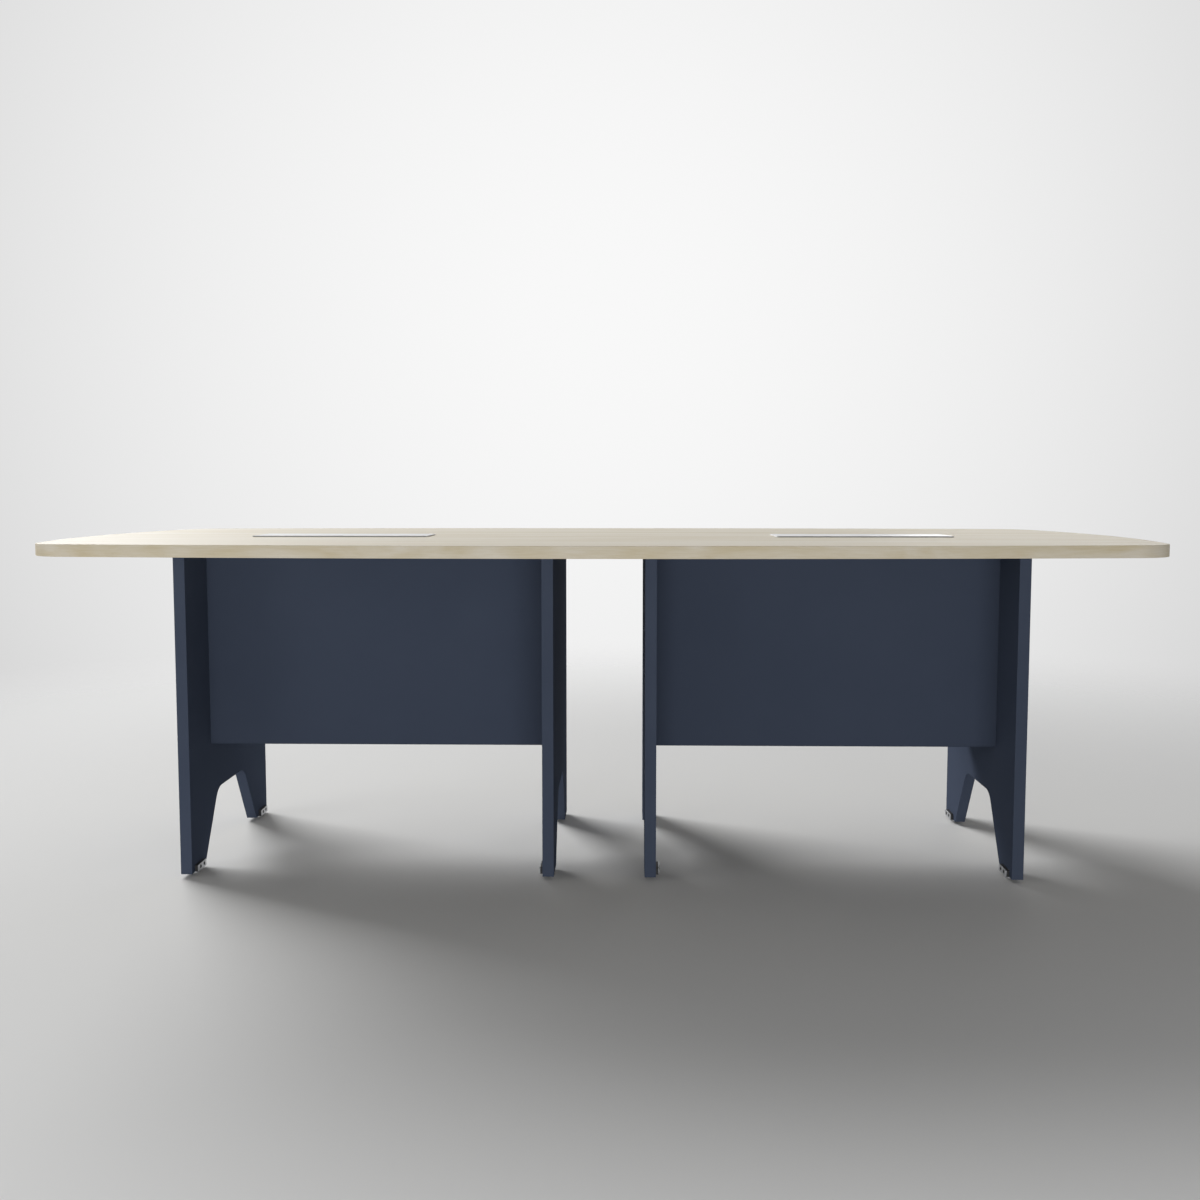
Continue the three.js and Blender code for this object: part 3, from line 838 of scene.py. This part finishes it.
bracket_places = []
for name in named("_top_bracket"):
    low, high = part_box(name)
    way = inward(name)
    wall = low.x if way > 0 else high.x
    for side in (-1, 1):
        y = (low.y + high.y) / 2 + side * BRACKET_HOLE_SPACING / 2
        in_panel = (wall + way * BRACKET_SHEET, y, high.z - BRACKET_HOLE_REACH)
        in_top = (wall + way * BRACKET_HOLE_REACH, y, high.z - BRACKET_SHEET)
        bracket_places += [(in_panel, (way, 0, 0)), (in_top, (0, 0, -1))]
bracket_points = facing_points("bracket_points", bracket_places)
bracket_screws = grown("bracket_screws", bracket_points, SCREWS, {**BRACKET_SCREW, "Finish": zinc_steel})
keep(bracket_screws, "table", "zinc_steel")

# %% [markdown]
# ## Screws of the levelling fittings
# Two flat black screws hold each fitting's face plate. They are the dark marks that show on the
# plates from the front, so they sit on the plate's face and cover its holes.

# %% Screws on the face plates
PLATE_SCREW_SPACING = 0.024
PLATE_SCREW_HEIGHT = 0.0085  # above the bottom of the plate
PLATE_SCREW = {"Radius": 0.0042, "Height": 0.0015, "Recess": 0.0010}

plate_places = []
for name in named("_leveller_plate"):
    low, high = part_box(name)
    way = inward(name)
    face = high.x if way > 0 else low.x
    for side in (-1, 1):
        y = (low.y + high.y) / 2 + side * PLATE_SCREW_SPACING / 2
        plate_places.append(((face, y, low.z + PLATE_SCREW_HEIGHT), (way, 0, 0)))
plate_points = facing_points("plate_points", plate_places)
plate_screws = grown("leveller_screws", plate_points, SCREWS, {**PLATE_SCREW, "Finish": black_plastic})
keep(plate_screws, "table", "black_plastic")

# %% [markdown]
# ## Caps over the cam fittings
# Cam fittings pull the modesty panels to the slab panels, and a thin round cap closes each one on the
# panel's hidden face. A cap is a flat disc whose front is raised a little and drawn in, so that its
# rim is chamfered.

# %% A tree for round caps
CAP_SIDES = 32
CAP_FRONT = 0.9  # faces whose normal has at least this Z are the front
CAP_CROWN = 0.9  # width of the raised front, as a share of the disc's


def cap_tree():
    tree, given, result = geometry_tree("round_caps", ("Radius", "Height"))
    half = math_node(tree, "MULTIPLY", given["Height"], 0.5)
    disc = add(tree, "GeometryNodeMeshCylinder", {
        "Vertices": CAP_SIDES, "Radius": given["Radius"], "Depth": given["Height"]})
    normal = add(tree, "GeometryNodeInputNormal").outputs[0]
    normal_z = add(tree, "ShaderNodeSeparateXYZ", {0: normal}).outputs[2]
    front = math_node(tree, "GREATER_THAN", normal_z, CAP_FRONT)
    raised = add(tree, "GeometryNodeExtrudeMesh", {
        "Mesh": disc.outputs[0], "Selection": front, "Offset Scale": half}).outputs
    crowned = add(tree, "GeometryNodeScaleElements", {
        "Geometry": raised["Mesh"], "Selection": raised["Top"], "Scale": CAP_CROWN})
    seated = moved(tree, crowned.outputs[0], combine(tree, z=half))
    end_tree(tree, set_on_points(tree, given["Geometry"], seated), given["Finish"], result)
    return tree


CAPS = cap_tree()
print("tree", CAPS.name, "with", len(CAPS.nodes), "nodes")

# %% [markdown]
# ## Caps in place
# Three fittings hold each end of a modesty panel, so its caps stand in two upright rows, on the face
# that looks into the base.

# %% Caps on the hidden faces of the modesty panels
CAP_SIZE = {"Radius": 0.0085, "Height": 0.0008}
CAP_SETBACK = 0.034  # from the end of the panel
CAP_HEIGHTS = (0.06, 0.226, 0.392)  # above the bottom of the panel

cap_places = []
for name in named("_modesty_panel"):
    low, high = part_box(name)
    front = "_front_" in name
    y = high.y if front else low.y
    for x in (low.x + CAP_SETBACK, high.x - CAP_SETBACK):
        for height in CAP_HEIGHTS:
            cap_places.append(((x, y, low.z + height), (0, 1 if front else -1, 0)))
cap_points = facing_points("cap_points", cap_places)
cam_caps = grown("cam_caps", cap_points, CAPS, {**CAP_SIZE, "Finish": navy_edging})
keep(cam_caps, "table", "navy_edging")

# %% [markdown]
# ## Lamps
# The light is soft and comes from high behind the left end, so the shadow of the top falls to the
# front and right. One large lamp far away gives that. A long low lamp in front opens the shade on
# the bases, a small one at the front left lights the faces that look left, and a weak one at the
# back right draws the far edges.

# %% Four soft lamps
TABLE_MIDDLE = Vector((0, 0, 0.4))
KEY_WAY = Vector((-1.20, 1.28, 1.0))
KEY_DISTANCE = 16.0
KEY_SIZE = (10.0, 5.0)
KEY_POWER = 2700  # watts
FILL_PLACE = Vector((0.5, -5.0, 0.5))
FILL_SIZE = (4.0, 0.5)
FILL_POWER = 108
SIDE_PLACE = Vector((-4.0, -2.2, 1.0))
SIDE_SIZE = (2.5, 1.0)
SIDE_POWER = 32
RIM_PLACE = Vector((4.0, 9.0, 2.4))
RIM_SIZE = (3.0, 2.0)
RIM_POWER = 40


def lamp(name, place, size, power):
    data = bpy.data.lights.new(name, "AREA")
    data.shape = "RECTANGLE"
    data.size, data.size_y = size
    data.energy = power
    stand = bpy.data.objects.new(name, data)
    stand.location = place
    stand.rotation_euler = (TABLE_MIDDLE - place).to_track_quat("-Z", "Y").to_euler()
    stand.visible_camera = False
    bpy.context.scene.collection.objects.link(stand)
    print(name, "lamp,", power, "W")


lamp("key", TABLE_MIDDLE + KEY_WAY.normalized() * KEY_DISTANCE, KEY_SIZE, KEY_POWER)
lamp("fill", FILL_PLACE, FILL_SIZE, FILL_POWER)
lamp("side", SIDE_PLACE, SIDE_SIZE, SIDE_POWER)
lamp("rim", RIM_PLACE, RIM_SIZE, RIM_POWER)

# %% [markdown]
# ## Backdrop
# The backdrop is nearly white behind the table and a light grey further out. A lit wall would also
# brighten the table, so it is a colour of the world that only the camera and shiny surfaces see.
# What lights the table is a weaker grey, which comes mostly from behind.

# %% Backdrop and ambient light
BACKDROP_CENTRE = (-0.0227, 0.990, 0.1404)  # the way in which it is brightest
BACKDROP_BRIGHT = (0.939, 0.939, 0.939, 1)
BACKDROP_DIM = (0.64, 0.64, 0.64, 1)
BACKDROP_REACH = 0.85  # cosine of the angle at which the backdrop is dimmest
AMBIENT_BACK = (0.35, 0.35, 0.35, 1)
AMBIENT_FRONT = (0.02, 0.02, 0.02, 1)


def seen_directly(tree):
    """1 for what the camera sees, straight or by a shiny or clear surface, and 0 for soft light."""
    path = add(tree, "ShaderNodeLightPath").outputs
    shiny = math_node(tree, "MAXIMUM", path["Is Glossy Ray"], path["Is Transmission Ray"])
    return math_node(tree, "MAXIMUM", path["Is Camera Ray"], shiny)


studio = bpy.data.worlds.new("studio")
studio.use_nodes = True
bpy.context.scene.world = studio
sky = studio.node_tree
way = add(sky, "ShaderNodeTexCoord").outputs["Generated"]
nearness = add(sky, "ShaderNodeVectorMath", {0: way, 1: BACKDROP_CENTRE}, operation="DOT_PRODUCT")
glow = remap(sky, nearness.outputs["Value"], BACKDROP_REACH, 1.0)
backdrop = blend_colours(sky, glow, BACKDROP_DIM, BACKDROP_BRIGHT)
towards_back = remap(sky, add(sky, "ShaderNodeSeparateXYZ", {0: way}).outputs[1], -1.0, 1.0)
ambient = blend_colours(sky, towards_back, AMBIENT_FRONT, AMBIENT_BACK)
light = blend_colours(sky, seen_directly(sky), ambient, backdrop)
sky.links.new(light, sky.nodes["Background"].inputs["Color"])
print("backdrop from", BACKDROP_BRIGHT[0], "down to", BACKDROP_DIM[0])

# %% [markdown]
# ## Floor
# The floor is plain and pale, and takes the shadow of the table. Further out it turns clear, so that
# it runs into the backdrop with no horizon.

# %% Floor that fades out
FLOOR_SIZE = 60.0
FLOOR_COLOUR = (0.74, 0.74, 0.735, 1)
FLOOR_ROUGHNESS = 0.9
FLOOR_SPECULAR = 0.1
FLOOR_NEAR = 1.2  # the floor is solid out to here
FLOOR_FAR = 4.5  # and gone from here

half = FLOOR_SIZE / 2
floor_mesh = bpy.data.meshes.new("floor")
floor_mesh.from_pydata(
    [(-half, -half, 0), (half, -half, 0), (half, half, 0), (-half, half, 0)], [], [(0, 1, 2, 3)])
floor_finish, floor_tree, floor_shader = new_finish(
    "floor", Base_Color=FLOOR_COLOUR, Roughness=FLOOR_ROUGHNESS, Specular_IOR_Level=FLOOR_SPECULAR)
distance = add(floor_tree, "ShaderNodeVectorMath", {0: object_place(floor_tree)}, operation="LENGTH")
fade = add(floor_tree, "ShaderNodeMapRange", {
    "Value": distance.outputs["Value"], "From Min": FLOOR_NEAR, "From Max": FLOOR_FAR},
    interpolation_type="SMOOTHSTEP").outputs[0]
clear = add(floor_tree, "ShaderNodeBsdfTransparent").outputs[0]
faded = add(floor_tree, "ShaderNodeMixShader", {0: fade, 1: floor_shader.outputs[0], 2: clear})
floor_tree.links.new(faded.outputs[0], floor_tree.nodes["Material Output"].inputs["Surface"])
new_piece("floor", floor_mesh, floor_finish)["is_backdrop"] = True
print("floor", FLOOR_SIZE, "m, solid to", FLOOR_NEAR, "m")

# %% [markdown]
# ## Size
# The visible model has to keep the construction model's box, so both boxes are measured and written
# down.

# %% Write both boxes
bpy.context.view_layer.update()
for label, (low, high) in {"cad": cad_box, "visual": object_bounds()}.items():
    print(label, "box", *(round((b - a) * MILLIMETRES, 2) for a, b in zip(low, high)), "mm")
